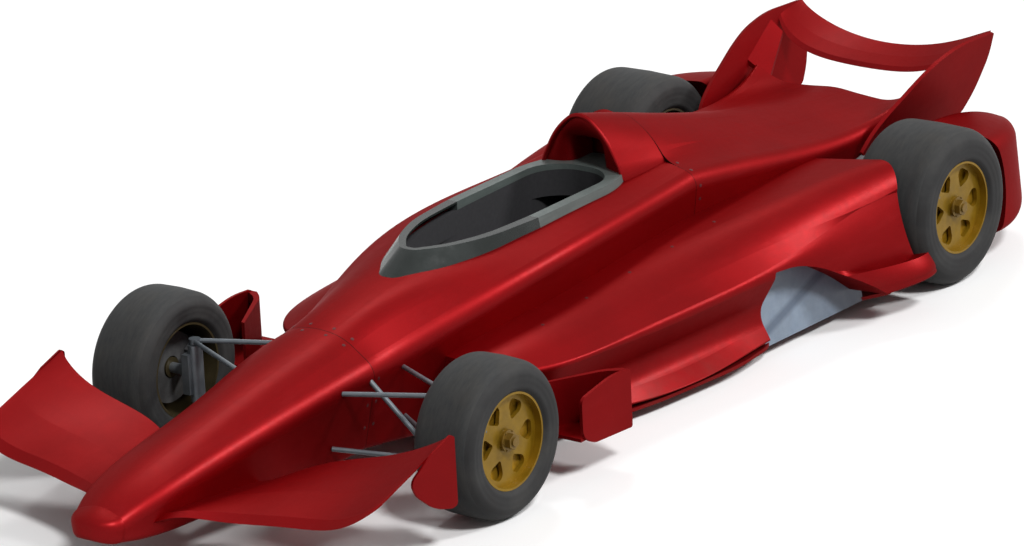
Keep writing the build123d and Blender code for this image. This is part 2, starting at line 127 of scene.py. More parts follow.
# noise whose low to high levels fill outLow to outHigh
def blotches(tree, point, scale, detail, low, high, outLow=0.0, outHigh=1.0, roughness=0.55):
    return spread(tree, noise(tree, point, scale, detail, roughness), low, high, outLow, outHigh)


def objectPoint(tree):
    return tree.nodes.new("ShaderNodeTexCoord").outputs["Object"]


def split(tree, vector):
    return addNode(tree, "ShaderNodeSeparateXYZ", {"Vector": vector}).outputs


def bumpNormal(tree, height, distance, strength):
    inputs = {"Height": height, "Distance": distance, "Strength": strength}
    return addNode(tree, "ShaderNodeBump", inputs).outputs["Normal"]


def newGroup(name, inputs, outputs):
    tree = bpy.data.node_groups.new(name, "ShaderNodeTree")
    kinds = {"value": "NodeSocketFloat", "vector": "NodeSocketVector"}
    for label, kind, start in inputs:
        socket = tree.interface.new_socket(name=label, in_out="INPUT", socket_type=kinds[kind])
        socket.default_value = start
    for label, kind in outputs:
        tree.interface.new_socket(name=label, in_out="OUTPUT", socket_type=kinds[kind])
    return tree, tree.nodes.new("NodeGroupInput").outputs, tree.nodes.new("NodeGroupOutput").inputs


def place(tree, group, **inputs):
    return addNode(tree, "ShaderNodeGroup", inputs, node_tree=group).outputs


# fine skin of sprayed paint or moulded plastic, as a normal
skinDetail = 3.0


def makeSkin():
    inputs = [("Scale", "value", 90.0), ("Depth", "value", 0.0004), ("Strength", "value", 0.2)]
    tree, given, out = newGroup("surfaceSkin", inputs, [("Normal", "vector")])
    height = noise(tree, objectPoint(tree), given["Scale"], skinDetail)
    tree.links.new(bumpNormal(tree, height, given["Depth"], given["Strength"]), out["Normal"])
    return tree


# dirt thrown up from the road: strongest low down and in blotches
dustNoise = {"detail": 8.0, "roughness": 0.65, "low": 0.35, "high": 0.7}


def makeDust():
    inputs = [("Top", "value", 0.35), ("Amount", "value", 0.4), ("Scale", "value", 6.0)]
    tree, given, out = newGroup("roadDust", inputs, [("Mask", "value")])
    point = objectPoint(tree)
    heights = {"Value": split(tree, point)["Z"], "From Min": given["Top"], "From Max": 0.0}
    low = addNode(tree, "ShaderNodeMapRange", heights, interpolation_type="SMOOTHSTEP").outputs["Result"]
    mask = maths(tree, "MULTIPLY", low, blotches(tree, point, given["Scale"], **dustNoise))
    tree.links.new(maths(tree, "MULTIPLY", mask, given["Amount"], clamp=True), out["Mask"])
    return tree


# streaks and small scratches that run along the car
streakNoise = {"detail": 10.0, "roughness": 0.7, "low": 0.52, "high": 0.72}
streakStretch = (0.12, 1.0, 1.0)


def makeStreaks():
    inputs = [("Scale", "value", 14.0), ("Amount", "value", 0.5)]
    tree, given, out = newGroup("streaks", inputs, [("Mask", "value")])
    stretched = addNode(tree, "ShaderNodeMapping", {"Vector": objectPoint(tree), "Scale": streakStretch})
    fine = blotches(tree, stretched.outputs["Vector"], given["Scale"], **streakNoise)
    tree.links.new(maths(tree, "MULTIPLY", fine, given["Amount"], clamp=True), out["Mask"])
    return tree


# radius and angle about a wheel's axle, and the distance along it
def makePolar():
    outputs = [("Radius", "value"), ("Angle", "value"), ("Along", "value")]
    tree, given, out = newGroup("aboutAxle", [("Centre", "vector", (0, 0, 0))], outputs)
    ends = {0: objectPoint(tree), 1: given["Centre"]}
    parts = split(tree, addNode(tree, "ShaderNodeVectorMath", ends, operation="SUBTRACT").outputs[0])
    squares = [maths(tree, "MULTIPLY", parts[axis], parts[axis]) for axis in "XZ"]
    tree.links.new(maths(tree, "SQRT", maths(tree, "ADD", *squares)), out["Radius"])
    tree.links.new(maths(tree, "ARCTAN2", parts["Z"], parts["X"]), out["Angle"])
    tree.links.new(parts["Y"], out["Along"])
    return tree


# twill cloth under clear resin: a mask of lit and unlit threads
weave = {"rise": 0.6, "repeat": 2.0}      # rise: how far a step up counts as one across


def makeTwill():
    outputs = [("Mask", "value"), ("Height", "value")]
    tree, given, out = newGroup("carbonTwill", [("Scale", "value", 300.0)], outputs)
    point = split(tree, objectPoint(tree))
    across = maths(tree, "ADD", point["Y"], maths(tree, "MULTIPLY", point["Z"], weave["rise"]))
    warp = maths(tree, "MULTIPLY", maths(tree, "ADD", point["X"], across), given["Scale"])
    weft = maths(tree, "MULTIPLY", maths(tree, "SUBTRACT", point["X"], across), given["Scale"])
    steps = maths(tree, "ADD", maths(tree, "FLOOR", warp), maths(tree, "FLOOR", weft))
    lit = maths(tree, "PINGPONG", steps, weave["repeat"])
    tree.links.new(maths(tree, "MULTIPLY", lit, 1 / weave["repeat"]), out["Mask"])
    tree.links.new(maths(tree, "SINE", maths(tree, "MULTIPLY", warp, math.pi)), out["Height"])
    return tree


# dull grain of a casting
grit = {"depth": 0.0006, "strength": 0.5, "patches": (9.0, 8.0, 0.3, 0.7)}


def makeCast():
    outputs = [("Mask", "value"), ("Normal", "vector")]
    tree, given, out = newGroup("castGrain", [("Scale", "value", 160.0)], outputs)
    point = objectPoint(tree)
    cells = addNode(tree, "ShaderNodeTexVoronoi", {"Vector": point, "Scale": given["Scale"]})
    normal = bumpNormal(tree, cells.outputs["Distance"], grit["depth"], grit["strength"])
    tree.links.new(normal, out["Normal"])
    tree.links.new(blotches(tree, point, *grit["patches"]), out["Mask"])
    return tree


# thin dark joints between panels, at stations along the car
def makeSeams():
    inputs = [("Station", "value", 0.0), ("Width", "value", 0.0016)]
    tree, given, out = newGroup("panelJoint", inputs, [("Mask", "value")])
    along = split(tree, objectPoint(tree))["X"]
    away = maths(tree, "ABSOLUTE", maths(tree, "SUBTRACT", along, given["Station"]))
    tree.links.new(maths(tree, "LESS_THAN", away, given["Width"]), out["Mask"])
    return tree


# inside a box in the object's own axes
def makeInside():
    inputs = [("Low", "vector", (0, 0, 0)), ("High", "vector", (1, 1, 1))]
    tree, given, out = newGroup("insideBox", inputs, [("Mask", "value")])
    point, low, high = (split(tree, v) for v in (objectPoint(tree), given["Low"], given["High"]))
    mask = maths(tree, "GREATER_THAN", point["X"], low["X"])
    for axis in "YZ":
        mask = maths(tree, "MULTIPLY", mask, maths(tree, "GREATER_THAN", point[axis], low[axis]))
    for axis in "XYZ":
        mask = maths(tree, "MULTIPLY", mask, maths(tree, "LESS_THAN", point[axis], high[axis]))
    tree.links.new(mask, out["Mask"])
    return tree


skin, dust, streaks, polar = makeSkin(), makeDust(), makeStreaks(), makePolar()
twill, cast, seams, inside = makeTwill(), makeCast(), makeSeams(), makeInside()
print("shader groups made")


# plain values go straight onto the shader's own sockets; an underscore stands for a space
def startMaterial(name, **plain):
    mat = bpy.data.materials.new(name)
    mat.use_nodes = True
    shader = mat.node_tree.nodes["Principled BSDF"]
    for key, value in plain.items():
        shader.inputs[key.replace("_", " ")].default_value = value
    return mat, mat.node_tree, shader


def feed(tree, shader, **sockets):
    for key, value in sockets.items():
        tree.links.new(value, shader.inputs[key.replace("_", " ")])


def scaled(colour, share):
    return tuple(share * c for c in colour)


# in the finishes below, patches are scale, detail, low and high of a noise, and rough adds the least
# and most roughness; smoother and rougher are taken off and added to a piece's own roughness
paint = {
    "colour": (0.20, 0.0014, 0.0030),
    "deep": (0.155, 0.0009, 0.0020),
    "worn": (0.28, 0.02, 0.024),
    "dust": (0.10, 0.06, 0.05),
    "edgeTint": (0.5, 0.1, 0.1, 1),
    "metallic": 0.78,
    "specular": 0.04,
    "coat": 0.04,
    "coatIor": 2.2,
    "coatRough": 0.36,
    "patches": (2.2, 3.0, 0.3, 0.75),
    "rough": (26.0, 6.0, 0.3, 0.7, 0.44, 0.50),
    "dustRough": 0.5,
    "flakes": 900.0,
    "flakeShade": (0.88, 1.12),
    "streaks": {"Scale": 18.0, "Amount": 0.10},
    "dustTop": 0.30,
    "dustAmount": 0.20,
    "dustScale": 7.0,
    "skin": {"Scale": 140.0, "Depth": 0.0003, "Strength": 0.12},
    "jointShade": (0.02, 0.001, 0.001),
}
panelJoints = (1.32, -0.744)        # nose to tub, tub to engine cover
# lining of the cockpit: weave is a noise's scale and detail, and the deck counts from this height up
lining = {"colour": (0.045, 0.045, 0.048), "dark": 0.7, "weave": (60.0, 6.0), "rough": 0.3, "height": 0.10}
# boxes that hold the tub's inner faces: low corner, high corner
cockpitRooms = [
    ((-0.72, -0.192, 0.10), (-0.40, 0.192, 0.66)),
    ((0.40, -0.192, 0.10), (0.70, 0.192, 0.705)),
    ((0.69, -0.155, 0.18), (1.25, 0.155, 0.48)),
]
# half width of the deck under the screen and collar: the least of these lines, as (at x 0, slope)
deckLines = [(0.225, 0.0), (0.25, -0.12), (0.4675, -0.55), (0.44, 0.5)]


def deckMask(tree):
    point = split(tree, objectPoint(tree))
    aside = maths(tree, "ABSOLUTE", point["Y"])
    mask = maths(tree, "GREATER_THAN", point["Z"], lining["height"])
    for start, slope in deckLines:
        edge = maths(tree, "MULTIPLY_ADD", point["X"], slope, start)
        mask = maths(tree, "MULTIPLY", mask, maths(tree, "LESS_THAN", aside, edge))
    return mask


def paintMaterial(name, dustTop=paint["dustTop"], dustAmount=paint["dustAmount"], joints=(), lined=False):
    mat, tree, shader = startMaterial(
        name, Specular_IOR_Level=paint["specular"], Specular_Tint=paint["edgeTint"],
        Coat_Roughness=paint["coatRough"], Coat_IOR=paint["coatIor"])
    point = objectPoint(tree)
    shade = mixColour(tree, blotches(tree, point, *paint["patches"]), paint["colour"], paint["deep"])
    flakes = addNode(tree, "ShaderNodeTexVoronoi", {"Vector": point, "Scale": paint["flakes"]})
    flake = addNode(tree, "ShaderNodeSeparateColor", {"Color": flakes.outputs["Color"]}).outputs[0]
    glint = {0: shade, "Scale": spread(tree, flake, 0.0, 1.0, *paint["flakeShade"])}
    shade = addNode(tree, "ShaderNodeVectorMath", glint, operation="SCALE").outputs[0]
    shade = mixColour(tree, place(tree, streaks, **paint["streaks"])["Mask"], shade, paint["worn"])
    dirt = place(tree, dust, Top=dustTop, Amount=dustAmount, Scale=paint["dustScale"])["Mask"]
    shade = mixColour(tree, dirt, shade, paint["dust"])
    for station in joints:
        shade = mixColour(tree, place(tree, seams, Station=station)["Mask"], shade, paint["jointShade"])
    dirtRough = maths(tree, "MULTIPLY", dirt, paint["dustRough"])
    rough = maths(tree, "ADD", blotches(tree, point, *paint["rough"]), dirtRough, clamp=True)
    dull = dirt
    if lined:
        trim = deckMask(tree)
        for low, high in cockpitRooms:
            trim = maths(tree, "MAXIMUM", trim, place(tree, inside, Low=low, High=high)["Mask"])
        threads = noise(tree, point, *lining["weave"])
        cloth = mixColour(tree, threads, lining["colour"], scaled(lining["colour"], lining["dark"]))
        shade = mixColour(tree, trim, shade, cloth)
        rough = maths(tree, "ADD", rough, maths(tree, "MULTIPLY", trim, lining["rough"]), clamp=True)
        dull = maths(tree, "MAXIMUM", dull, trim)
    clean = maths(tree, "SUBTRACT", 1.0, dull)
    feed(tree, shader, Base_Color=shade, Roughness=rough,
         Metallic=maths(tree, "MULTIPLY", clean, paint["metallic"]),
         Coat_Weight=maths(tree, "MULTIPLY", clean, paint["coat"]),
         Normal=place(tree, skin, **paint["skin"])["Normal"])
    return mat


plastic = {
    "patches": (5.0, 6.0, 0.35, 0.7),
    "scuffs": {"Scale": 40.0, "Amount": 0.35},
    "scuffLight": 1.7,
    "roughPatches": (30.0, 5.0, 0.3, 0.7),
    "smoother": 0.07,
    "rougher": 0.1,
    "skinStrength": 0.35,
}


def plasticMaterial(name, colour, light, roughness, grain=420.0, depth=0.0005):
    mat, tree, shader = startMaterial(name)
    point = objectPoint(tree)
    tone = mixColour(tree, blotches(tree, point, *plastic["patches"]), colour, light)
    scuffs = place(tree, streaks, **plastic["scuffs"])["Mask"]
    tone = mixColour(tree, scuffs, tone, scaled(light, plastic["scuffLight"]))
    rough = blotches(tree, point, *plastic["roughPatches"],
                     roughness - plastic["smoother"], roughness + plastic["rougher"])
    normal = place(tree, skin, Scale=grain, Depth=depth, Strength=plastic["skinStrength"])["Normal"]
    feed(tree, shader, Base_Color=tone, Roughness=rough, Normal=normal)
    return mat


glass = {
    "tint": (0.020, 0.025, 0.023),
    "edge": (0.034, 0.041, 0.039),
    "clear": 0.35,
    "specular": 0.12,
    "patches": (6.0, 4.0, 0.35, 0.7),
    "rough": (24.0, 6.0, 0.3, 0.7, 0.16, 0.28),
    "skin": {"Scale": 12.0, "Depth": 0.0004, "Strength": 0.1},
}


def glassMaterial(name):
    mat, tree, shader = startMaterial(name, Transmission_Weight=glass["clear"],
                                      Specular_IOR_Level=glass["specular"])
    point = objectPoint(tree)
    tone = mixColour(tree, blotches(tree, point, *glass["patches"]), glass["tint"], glass["edge"])
    feed(tree, shader, Base_Color=tone, Roughness=blotches(tree, point, *glass["rough"]),
         Normal=place(tree, skin, **glass["skin"])["Normal"])
    return mat


# seat shell
shell = {
    "dark": (0.012, 0.012, 0.014),
    "lit": (0.05, 0.05, 0.055),
    "threads": 330.0,
    "coat": 0.8,
    "dust": {"Top": 0.5, "Amount": 0.5, "Scale": 9.0},
    "dustColour": (0.09, 0.08, 0.07),
    "relief": (0.0003, 0.3),        # depth, strength
    "rough": (12.0, 5.0, 0.3, 0.7, 0.26, 0.42),
}


def twillMaterial(name):
    mat, tree, shader = startMaterial(name, Coat_Weight=shell["coat"])
    threads = place(tree, twill, Scale=shell["threads"])
    tone = mixColour(tree, threads["Mask"], shell["dark"], shell["lit"])
    tone = mixColour(tree, place(tree, dust, **shell["dust"])["Mask"], tone, shell["dustColour"])
    feed(tree, shader, Base_Color=tone, Roughness=blotches(tree, objectPoint(tree), *shell["rough"]),
         Normal=bumpNormal(tree, threads["Height"], *shell["relief"]))
    return mat


casting = {
    "metallic": 0.75,
    "dust": {"Top": 0.55, "Amount": 0.6, "Scale": 10.0},
    "dustColour": (0.05, 0.045, 0.04),
    "dustRough": 0.4,
    "smoother": 0.1,
    "rougher": 0.08,
}


def castMaterial(name, colour, worn, roughness=0.5, scale=160.0):
    mat, tree, shader = startMaterial(name, Metallic=casting["metallic"])
    grain = place(tree, cast, Scale=scale)
    dirt = place(tree, dust, **casting["dust"])["Mask"]
    tone = mixColour(tree, dirt, mixColour(tree, grain["Mask"], colour, worn), casting["dustColour"])
    rough = spread(tree, grain["Mask"], 0.0, 1.0,
                   roughness - casting["smoother"], roughness + casting["rougher"])
    rough = maths(tree, "ADD", rough, maths(tree, "MULTIPLY", dirt, casting["dustRough"]), clamp=True)
    feed(tree, shader, Base_Color=tone, Roughness=rough, Normal=grain["Normal"])
    return mat


tyre = {
    "tread": (0.027, 0.028, 0.029),
    "scuffed": (0.042, 0.042, 0.041),
    "side": (0.017, 0.016, 0.016),
    "dusty": (0.075, 0.066, 0.056),
    "specular": 0.2,
    "treadShare": 0.42,             # of the width, each side of the middle
    "treadDepth": 0.03,             # below the crown, where the shoulder ends it
    "drawnOut": 0.25,               # grain runs round the tread
    "grain": (55.0, 8.0, 0.7),      # scale, detail, roughness
    "patches": (7.0, 5.0),          # scale, detail
    "scuffLevels": (0.35, 0.7),
    "sideLevels": (0.3, 0.7),
    "dustLevels": (0.45, 0.75),
    "dustAmount": 0.22,
    "rings": 260.0,                 # mould rings on the sidewall, radians a metre
    "ringHeight": 0.5,
    "relief": (0.0012, 0.4),        # depth, strength
    "rough": (0.2, 0.8, 0.6, 0.75), # low and high of the patches, least and most roughness
    "treadRough": 0.1,
}


def tyreMaterial(name, centre, radius, width):
    mat, tree, shader = startMaterial(name, Specular_IOR_Level=tyre["specular"])
    about = place(tree, polar, Centre=centre)
    around = maths(tree, "MULTIPLY", maths(tree, "MULTIPLY", about["Angle"], radius), tyre["drawnOut"])
    wrapped = addNode(tree, "ShaderNodeCombineXYZ", {"X": around, "Y": about["Along"], "Z": about["Radius"]})
    grain = noise(tree, wrapped.outputs[0], *tyre["grain"])
    patches = noise(tree, objectPoint(tree), *tyre["patches"])
    crown = maths(tree, "GREATER_THAN", about["Radius"], radius - tyre["treadDepth"])
    aside = maths(tree, "ABSOLUTE", about["Along"])
    tread = maths(tree, "MULTIPLY", crown, maths(tree, "LESS_THAN", aside, width * tyre["treadShare"]))
    worn = mixColour(tree, spread(tree, grain, *tyre["scuffLevels"]), tyre["tread"], tyre["scuffed"])
    side = mixColour(tree, spread(tree, patches, *tyre["sideLevels"]), tyre["side"], tyre["tread"])
    dusty = maths(tree, "MULTIPLY", spread(tree, patches, *tyre["dustLevels"]), tyre["dustAmount"])
    tone = mixColour(tree, dusty, mixColour(tree, tread, side, worn), tyre["dusty"])
    rings = maths(tree, "SINE", maths(tree, "MULTIPLY", about["Radius"], tyre["rings"]))
    heights = {0: tread, 2: maths(tree, "MULTIPLY", rings, tyre["ringHeight"]), 3: grain}
    height = addNode(tree, "ShaderNodeMix", heights, data_type="FLOAT").outputs[0]
    rough = maths(tree, "ADD", spread(tree, patches, *tyre["rough"]),
                  maths(tree, "MULTIPLY", tread, tyre["treadRough"]))
    feed(tree, shader, Base_Color=tone, Roughness=rough, Normal=bumpNormal(tree, height, *tyre["relief"]))
    return mat


gold = {
    "metallic": 0.45,
    "specular": 0.2,
    "coat": 0.1,
    "patches": (16.0, 6.0, 0.3, 0.7),
    "sootRadii": (0.19, 0.05),      # none at the first, all at the second
    "soot": (22.0, 8.0, 0.3, 0.65),
    "sootAmount": 0.35,
    "barrelShade": 0.88,                 # how far painted shade darkens the inboard side of the barrel, with some brake dust
    "barrelShadeOver": 0.02,
    "roughPatches": (40.0, 5.0, 0.3, 0.7),
    "smoother": 0.08,
    "rougher": 0.1,
    "skin": {"Scale": 300.0, "Depth": 0.0003, "Strength": 0.25},
}
rimLook = {
    "colour": (0.20, 0.112, 0.004),
    "light": (0.25, 0.145, 0.008),
    "brakeDust": (0.06, 0.04, 0.012),
    # inboard is painted shade inside the barrel, with some brake dust
    "inboard": (0.034, 0.032, 0.022),
    "rough": 0.42,
    "spokeBack": 0.069,             # in from the rim's outer edge
}
# the pan's gold is lighter than the rim's: painted light in the shadowed pockets behind the spokes
panLitLook = {
    "colour": (0.27, 0.145, 0.006),
    "light": (0.33, 0.18, 0.010),
    "brakeDust": (0.09, 0.055, 0.018),
    "rough": 0.5,
}


# inboard is the way in from the spokes, as a signed distance along the axle from the centre; past it the gold is
# darkened with painted shade
def rimMaterial(name, centre, look, inboard=None):
    mat, tree, shader = startMaterial(name, Metallic=gold["metallic"], Coat_Weight=gold["coat"],
                                      Specular_IOR_Level=gold["specular"])
    about = place(tree, polar, Centre=centre)
    point = objectPoint(tree)
    tone = mixColour(tree, blotches(tree, point, *gold["patches"]), look["colour"], look["light"])
    sooty = maths(tree, "MULTIPLY", spread(tree, about["Radius"], *gold["sootRadii"]),
                  blotches(tree, point, *gold["soot"]))
    sooty = maths(tree, "MULTIPLY", sooty, gold["sootAmount"], clamp=True)
    tone = mixColour(tree, sooty, tone, look["brakeDust"])
    # painted shade inside the barrel, inboard of the spokes
    if inboard:
        depth = maths(tree, "MULTIPLY", about["Along"], math.copysign(1.0, inboard))
        start = abs(inboard)
        barrelShade = spread(tree, depth, start, start - gold["barrelShadeOver"], 0.0, gold["barrelShade"])
        tone = mixColour(tree, barrelShade, tone, look["inboard"])
    rough = blotches(tree, point, *gold["roughPatches"],
                     look["rough"] - gold["smoother"], look["rough"] + gold["rougher"])
    feed(tree, shader, Base_Color=tone, Roughness=rough, Normal=place(tree, skin, **gold["skin"])["Normal"])
    return mat


# painted shade line along the strake's fold: z at x 0, slope, half width, share of it that is full
foldShade = {"start": -0.1055, "slope": -0.3068, "half": 0.034, "full": 0.3, "shade": (0.085, 0.115, 0.165)}


def foldShadeMask(tree, point):
    parts = split(tree, point)
    line = maths(tree, "MULTIPLY_ADD", parts["X"], foldShade["slope"], foldShade["start"])
    away = maths(tree, "ABSOLUTE", maths(tree, "SUBTRACT", parts["Z"], line))
    return spread(tree, away, foldShade["half"], foldShade["half"] * foldShade["full"])


metal = {
    "patches": (20.0, 6.0, 0.3, 0.7),
    "dustTop": 0.5,
    "dustScale": 14.0,
    "dustColour": (0.06, 0.055, 0.05),
    "roughPatches": (60.0, 6.0, 0.3, 0.7),
    "smoother": 0.1,
    "rougher": 0.12,
    "skin": {"Scale": 500.0, "Depth": 0.0002, "Strength": 0.25},
}


def metalMaterial(name, colour, worn, roughness=0.4, metallic=0.6, dirt=0.45, foldShaded=False):
    mat, tree, shader = startMaterial(name, Metallic=metallic)
    point = objectPoint(tree)
    tone = mixColour(tree, blotches(tree, point, *metal["patches"]), colour, worn)
    # painted shade line along the strake's fold
    if foldShaded:
        tone = mixColour(tree, foldShadeMask(tree, point), tone, foldShade["shade"])
    dirty = place(tree, dust, Top=metal["dustTop"], Amount=dirt, Scale=metal["dustScale"])["Mask"]
    tone = mixColour(tree, dirty, tone, metal["dustColour"])
    rough = blotches(tree, point, *metal["roughPatches"],
                     roughness - metal["smoother"], roughness + metal["rougher"])
    feed(tree, shader, Base_Color=tone, Roughness=rough, Normal=place(tree, skin, **metal["skin"])["Normal"])
    return mat


# one finish for each slot; tyres and rims need their own axle, and the shells their joints
finishes = {
    "body_paint": paintMaterial("bodyPaint"),
    "floor_panel": paintMaterial("floorPaint", dustTop=0.12, dustAmount=0.5),
    "screen": glassMaterial("screenGlass"),
    "collar": plasticMaterial("collarPlastic", (0.052, 0.066, 0.062), (0.074, 0.089, 0.084), 0.5,
                              grain=900.0, depth=0.0002),
    "seat_shell": twillMaterial("seatTwill"),
    "cockpit_trim": plasticMaterial("trimPlastic", (0.012, 0.012, 0.013), (0.025, 0.025, 0.027), 0.45),
    "engine": castMaterial("engineCasting", (0.22, 0.22, 0.23), (0.34, 0.34, 0.34)),
    "gearbox_case": castMaterial("gearboxCasting", (0.16, 0.17, 0.18), (0.26, 0.26, 0.27)),
    # the strake gets a painted shade line along its fold
    "strake_panel": metalMaterial("strakePaint", (0.165, 0.21, 0.275), (0.20, 0.25, 0.315), 0.45,
                                  metallic=0.0, dirt=0.2, foldShaded=True),
    "arms": metalMaterial("armPaint", (0.085, 0.10, 0.115), (0.12, 0.135, 0.15), 0.38, metallic=0.4),
    "uprights": castMaterial("uprightCasting", (0.16, 0.18, 0.20), (0.24, 0.26, 0.28), 0.45, scale=300.0),
}
for end in wheelEnds:
    tyreNode, rimNode = (end.replace("_", middle) for middle in ("_tyre_", "_rim_"))
    low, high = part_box(tyreNode)
    centre, width = (low + high) / 2, high.y - low.y
    finishes[tyreNode] = tyreMaterial(f"{tyreNode}_rubber", centre, (high.z - low.z) / 2, width)
    spokeBack = math.copysign(width / 2 - rimLook["spokeBack"], centre.y)
    finishes[rimNode] = rimMaterial(f"{rimNode}_gold", centre, rimLook, spokeBack)
shellPaint = paintMaterial("shellPaint", joints=panelJoints)
finishes["monocoque"] = paintMaterial("tubPaint", joints=panelJoints, lined=True)
for name in ("nose_cone", "engine_cover", "roll_hoop"):
    finishes[name] = shellPaint
for name, node in nodes.items():
    node.data.materials.clear()
    node.data.materials.append(finishes.get(name) or finishes[slotOf[name]])
print("materials on", len(nodes), "nodes")

# helpers for the added pieces; edges sharper than crease stay sharp
crease = math.radians(40)
bevelSteps = 2
mergeWithin = 1e-6
alongAxle = (0, 1, 0)


def finishPiece(name, bm, body, material, bevel=0.0, smooth=True):
    bmesh.ops.remove_doubles(bm, verts=bm.verts, dist=mergeWithin)
    bmesh.ops.recalc_face_normals(bm, faces=bm.faces)
    mesh = bpy.data.meshes.new(name)
    bm.to_mesh(mesh)
    bm.free()
    for face in mesh.polygons:
        face.use_smooth = smooth
    if smooth:
        mesh.set_sharp_from_angle(angle=crease)
    piece = bpy.data.objects.new(name, mesh)
    bpy.context.collection.objects.link(piece)
    mesh.materials.append(material)
    if bevel:
        edge = piece.modifiers.new("edge", "BEVEL")
        edge.width, edge.segments = bevel, bevelSteps
        edge.limit_method, edge.angle_limit = "ANGLE", crease
    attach(piece, body)


def closedLoop(bm, points):
    verts = [bm.verts.new(point) for point in points]
    return verts, [bm.edges.new(pair) for pair in zip(verts, verts[1:] + verts[:1])]


# a ring or disc turned about the Y axis: profile rows are (y, radius)
def turn(bm, profile, centre, steps=72):
    verts, edges = closedLoop(bm, [(centre.x, centre.y + y, centre.z + r) for y, r in profile])
    bmesh.ops.spin(bm, geom=verts + edges, cent=centre, axis=alongAxle, angle=math.tau, steps=steps,
                   use_merge=True)


def addCylinder(bm, centre, radius, depth, axis, segments=20, radiusTop=None):
    turned = Vector((0, 0, 1)).rotation_difference(Vector(axis)).to_matrix().to_4x4()
    bmesh.ops.create_cone(bm, cap_ends=True, segments=segments, radius1=radius,
                          radius2=radius if radiusTop is None else radiusTop, depth=depth,
                          matrix=Matrix.Translation(centre) @ turned)


def addBox(bm, centre, size):
    matrix = Matrix.Translation(centre) @ Matrix.Diagonal((*size, 1))
    bmesh.ops.create_cube(bm, size=1.0, matrix=matrix)


def outward(sign, distance):
    return Vector((0, sign * distance, 0))


def aboutAxle(radius, angle):
    return Vector((radius * math.cos(angle), 0, radius * math.sin(angle)))


# wheel nut: a flange, a hexagon, a round cap and locking pins; start, flangeAt, pinAt and capPast are
# distances along the axle, and cap is the cap's share of the hexagon's radius
nut = {
    "radius": 0.034,
    "length": 0.026,
    "points": 6,
    "start": 0.007,
    "flange": 0.046,
    "flangeThick": 0.007,
    "flangeAt": 0.004,
    "flangeSides": 36,
    "cap": 0.55,
    "capLength": 0.008,
    "capPast": 0.010,
    "capSides": 24,
    "pin": 0.0035,
    "pinLength": 0.006,
    "pinAt": 0.009,
    "pinCircle": 0.041,
    "pinSides": 10,
    "edge": 0.0012,
}
nutMetal = metalMaterial("nutMetal", (0.13, 0.072, 0.006), (0.19, 0.11, 0.012), 0.45, metallic=0.5)


def makeNut(end, hub, sign, body):
    length = nut["length"]
    bm = bmesh.new()
    addCylinder(bm, hub + outward(sign, nut["flangeAt"]), nut["flange"], nut["flangeThick"], alongAxle,
                nut["flangeSides"])
    addCylinder(bm, hub + outward(sign, nut["start"] + length / 2), nut["radius"], length, alongAxle,
                nut["points"])
    addCylinder(bm, hub + outward(sign, nut["capPast"] + length), nut["radius"] * nut["cap"],
                nut["capLength"], alongAxle, nut["capSides"])
    for k in range(nut["points"]):
        spot = hub + aboutAxle(nut["pinCircle"], math.tau * k / nut["points"])
        addCylinder(bm, spot + outward(sign, nut["pinAt"]), nut["pin"], nut["pinLength"], alongAxle,
                    nut["pinSides"])
    finishPiece(f"wheelNut_{end}", bm, body, nutMetal, bevel=nut["edge"], smooth=False)


# tyre valve: cap is its share of the stem's radius, and capPlace is where it sits, in stem lengths
valve = {"radius": 0.004, "length": 0.030, "at": 0.179, "turned": math.radians(30), "cap": 1.3,
         "capLength": 0.010, "capPlace": 0.4, "sides": 14, "edge": 0.0004}
caliperMetal = metalMaterial("caliperMetal", (0.09, 0.09, 0.095), (0.14, 0.14, 0.145), 0.4, metallic=0.6)


def makeValve(end, hub, sign, body):
    middle = hub + aboutAxle(1, valve["turned"]) * valve["at"]
    capMiddle = middle + outward(sign, valve["length"] * valve["capPlace"])
    bm = bmesh.new()
    addCylinder(bm, middle, valve["radius"], valve["length"], alongAxle, valve["sides"])
    addCylinder(bm, capMiddle, valve["radius"] * valve["cap"], valve["capLength"], alongAxle,
                valve["sides"])
    finishPiece(f"tyreValve_{end}", bm, body, caliperMetal, bevel=valve["edge"])


# dished plate behind the spokes; near and dish are depths inboard of the hub; its gold is lighter than the rim's,
# painted light in the shadowed pockets
pan = {"near": 0.028, "dish": 0.012, "thick": 0.003, "radii": (0.0425, 0.062, 0.076, 0.160, 0.178, 0.190)}


def makePan(end, hub, sign, body):
    near, far = pan["near"], pan["near"] + pan["dish"]
    front = list(zip((near, near, far, far, near, near), pan["radii"]))
    rows = front + [(depth + pan["thick"], r) for depth, r in reversed(front)]
    bm = bmesh.new()
    turn(bm, [(-sign * depth, r) for depth, r in rows], hub)
    finishPiece(f"rimPan_{end}", bm, body, rimMaterial(f"rimPan_{end}_gold", hub, panLitLook))


# brake disc: vent is the share of its half thickness that the groove in its rim takes
disc = {"inner": 0.046, "outer": 0.150, "thick": 0.026, "behind": 0.132, "vent": 0.35, "ventDepth": 0.01,
        "holes": 24, "holeCircle": 0.118, "hole": 0.0045, "holeSides": 10, "proud": 0.002, "edge": 0.0008}
discMetal = metalMaterial("discCarbon", (0.035, 0.035, 0.037), (0.07, 0.07, 0.07), 0.55, metallic=0.2)


def makeDisc(end, middle, body):
    half, outer = disc["thick"] / 2, disc["outer"]
    vent, floor = half * disc["vent"], outer - disc["ventDepth"]
    bm = bmesh.new()
    turn(bm, [(-half, disc["inner"]), (-half, outer), (-vent, outer), (-vent, floor),
              (vent, floor), (vent, outer), (half, outer), (half, disc["inner"])], middle)
    for k in range(disc["holes"]):
        spot = middle + aboutAxle(disc["holeCircle"], math.tau * k / disc["holes"])
        addCylinder(bm, spot, disc["hole"], disc["thick"] + disc["proud"], alongAxle, disc["holeSides"])
    finishPiece(f"brakeDisc_{end}", bm, body, discMetal, bevel=disc["edge"], smooth=False)


